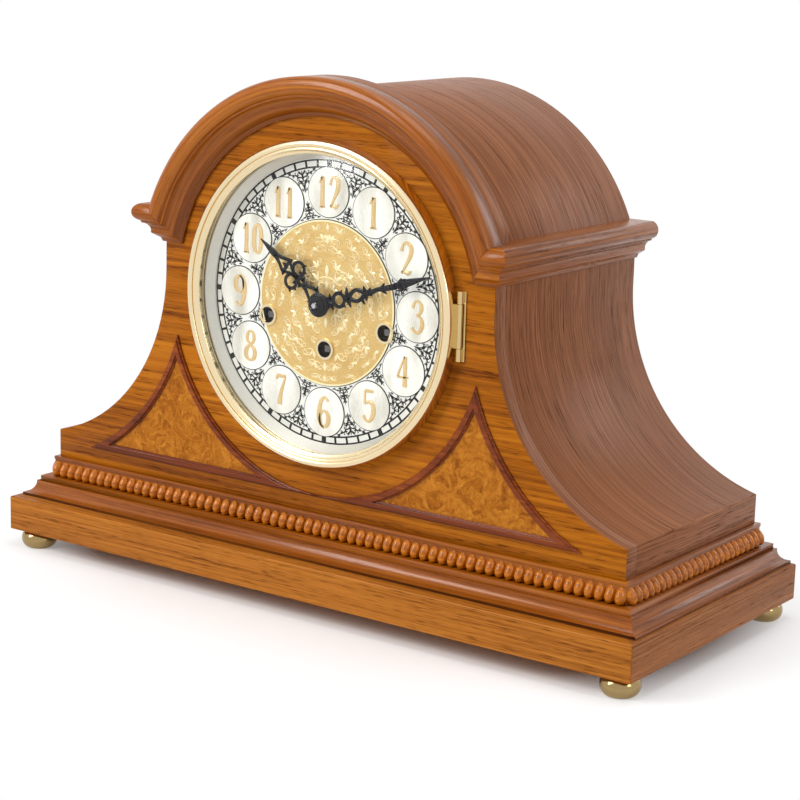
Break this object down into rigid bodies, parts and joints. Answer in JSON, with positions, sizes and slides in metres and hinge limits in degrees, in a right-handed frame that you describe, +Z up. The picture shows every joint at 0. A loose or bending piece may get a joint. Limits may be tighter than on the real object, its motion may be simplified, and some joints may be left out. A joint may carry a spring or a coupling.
{
  "type": "chiming mantel clock",
  "caption": "Barrel-topped wooden mantel clock with sweeping shoulders, beaded base, brass bezel door, round chime dial, wound movement, chime rods and hinged rear door.",
  "frame": {"origin": "on the floor, under the middle of the plinth", "axes": "+Z up, the dial faces -Y, +X to the right seen from the front"},
  "size_m": [0.5, 0.215, 0.343],
  "materials": {
    "case_oak": "gloss lacquer",
    "plinth_oak": "gloss lacquer",
    "side_veneer": "satin lacquer",
    "burl_veneer": "gloss lacquer",
    "moulding_oak": "gloss lacquer",
    "back_board": "satin",
    "polished_brass": "polished",
    "clear_glass": "clear",
    "silvered_dial": "satin",
    "gilt_dial": "satin",
    "black_hands": "gloss",
    "movement_brass": "brushed",
    "arbor_steel": "polished",
    "block_iron": "black"
  },
  "bodies": {
    "case": {"plinth_board": "plinth_oak", "base_cove_moulding": "moulding_oak", "base_bead_moulding": "moulding_oak", "base_core_board": "case_oak", "bun_feet": "polished_brass", "foot_screws": "arbor_steel", "front_panel": "case_oak", "left_side": "side_veneer", "right_side": "side_veneer", "barrel_roof": "side_veneer", "back_panel": "back_board", "arch_moulding": "moulding_oak", "cornice_left": "moulding_oak", "cornice_right": "moulding_oak", "burl_panels": "burl_veneer", "panel_beads": "moulding_oak", "dial_plate": "silvered_dial", "dial_surround": "silvered_dial", "numeral_discs": "silvered_dial", "dial_centre": "gilt_dial", "winding_bushings": "gilt_dial", "dial_posts": "movement_brass", "movement_front_plate": "movement_brass", "movement_back_plate": "movement_brass", "movement_pillars": "movement_brass", "seat_board": "back_board", "seat_legs": "back_board", "chime_bracket": "movement_brass", "chime_rods": "arbor_steel", "chime_rod_block": "block_iron", "balance_cock": "movement_brass", "bezel_hinge_plate": "polished_brass", "rear_hinge_case_leaves": "polished_brass"},
    "bezel_door": {"bezel_ring": "polished_brass", "bezel_glass": "clear_glass", "bezel_hinge_leaf": "polished_brass"},
    "rear_door_leaf": {"rear_door": "back_board", "rear_door_knob": "polished_brass", "rear_hinge_door_leaves": "polished_brass"},
    "minute_hand_set": {"minute_hand": "black_hands", "hand_nut": "black_hands", "centre_arbor": "arbor_steel"},
    "hour_hand_set": {"hour_hand": "black_hands", "hour_wheel": "movement_brass"},
    "minute_wheel_set": {"minute_wheel": "movement_brass"},
    "time_barrel_set": {"time_barrel": "movement_brass"},
    "strike_barrel_set": {"strike_barrel": "movement_brass"},
    "chime_barrel_set": {"chime_barrel": "movement_brass"},
    "time_winding": {"time_winding_arbor": "arbor_steel"},
    "strike_winding": {"strike_winding_arbor": "arbor_steel"},
    "chime_winding": {"chime_winding_arbor": "arbor_steel"},
    "chime_drive": {"chime_drive_arbor": "arbor_steel"},
    "chime_drum_set": {"chime_drum": "movement_brass"},
    "balance": {"balance_wheel": "movement_brass"},
    "hammer_1": {"chime_hammer_1": "movement_brass"},
    "hammer_2": {"chime_hammer_2": "movement_brass"},
    "hammer_3": {"chime_hammer_3": "movement_brass"},
    "hammer_4": {"chime_hammer_4": "movement_brass"}
  },
  "joints": [
    {"name": "minute_hand_turn", "type": "hinge", "parent": "case", "child": "minute_hand_set", "pos_m": [0, -0.05, 0.2], "axis": [0, 1, 0], "continuous": true},
    {"name": "hour_hand_turn", "type": "hinge", "parent": "case", "child": "hour_hand_set", "pos_m": [0, -0.07, 0.2], "axis": [0, 1, 0], "continuous": true},
    {"name": "minute_wheel_turn", "type": "hinge", "parent": "case", "child": "minute_wheel_set", "pos_m": [0, -0.063, 0.212], "axis": [0, 1, 0], "continuous": true},
    {"name": "time_barrel_turn", "type": "hinge", "parent": "case", "child": "time_barrel_set", "pos_m": [0, -0.035, 0.1705], "axis": [0, 1, 0], "continuous": true},
    {"name": "strike_barrel_turn", "type": "hinge", "parent": "case", "child": "strike_barrel_set", "pos_m": [-0.0465, -0.035, 0.187], "axis": [0, 1, 0], "continuous": true},
    {"name": "chime_barrel_turn", "type": "hinge", "parent": "case", "child": "chime_barrel_set", "pos_m": [0.0465, -0.035, 0.187], "axis": [0, 1, 0], "continuous": true},
    {"name": "time_winding_turn", "type": "hinge", "parent": "case", "child": "time_winding", "pos_m": [0, -0.06, 0.1705], "axis": [0, 1, 0], "continuous": true},
    {"name": "strike_winding_turn", "type": "hinge", "parent": "case", "child": "strike_winding", "pos_m": [-0.0465, -0.06, 0.187], "axis": [0, 1, 0], "continuous": true},
    {"name": "chime_winding_turn", "type": "hinge", "parent": "case", "child": "chime_winding", "pos_m": [0.0465, -0.06, 0.187], "axis": [0, 1, 0], "continuous": true},
    {"name": "chime_drive_turn", "type": "hinge", "parent": "case", "child": "chime_drive", "pos_m": [0.0465, -0.03, 0.2108], "axis": [0, 1, 0], "continuous": true},
    {"name": "chime_drum_turn", "type": "hinge", "parent": "case", "child": "chime_drum_set", "pos_m": [0.03292, 0.02, 0.19722], "axis": [0, 1, 0], "continuous": true},
    {"name": "balance_swing", "type": "hinge", "parent": "case", "child": "balance", "pos_m": [-0.034, 0, 0.226], "axis": [0, 1, 0], "range_deg": [-220, 220]},
    {"name": "bezel_hinge", "type": "hinge", "parent": "case", "child": "bezel_door", "pos_m": [0.1066, -0.0816, 0.2], "axis": [0, 0, 1], "range_deg": [0, 90]},
    {"name": "rear_door_hinge", "type": "hinge", "parent": "case", "child": "rear_door_leaf", "pos_m": [-0.0955, 0.0874, 0.16], "axis": [0, 0, 1], "range_deg": [0, 110]},
    {"name": "hammer_1_lift", "type": "hinge", "parent": "case", "child": "hammer_1", "pos_m": [0.012, 0.007, 0.178], "axis": [0, 1, 0], "range_deg": [0, 12]},
    {"name": "hammer_2_lift", "type": "hinge", "parent": "case", "child": "hammer_2", "pos_m": [0.012, 0.016, 0.178], "axis": [0, 1, 0], "range_deg": [0, 12]},
    {"name": "hammer_3_lift", "type": "hinge", "parent": "case", "child": "hammer_3", "pos_m": [0.012, 0.025, 0.178], "axis": [0, 1, 0], "range_deg": [0, 12]},
    {"name": "hammer_4_lift", "type": "hinge", "parent": "case", "child": "hammer_4", "pos_m": [0.012, 0.034, 0.178], "axis": [0, 1, 0], "range_deg": [0, 12]}
  ],
  "couplings": [
    {"joint": "hour_hand_turn", "follows": "minute_hand_turn", "ratio": 0.083333},
    {"joint": "minute_wheel_turn", "follows": "minute_hand_turn", "ratio": -0.33333},
    {"joint": "time_barrel_turn", "follows": "minute_hand_turn", "ratio": -0.125},
    {"joint": "chime_drive_turn", "follows": "chime_barrel_turn", "ratio": -6},
    {"joint": "chime_drum_turn", "follows": "chime_barrel_turn", "ratio": 6}
  ]
}
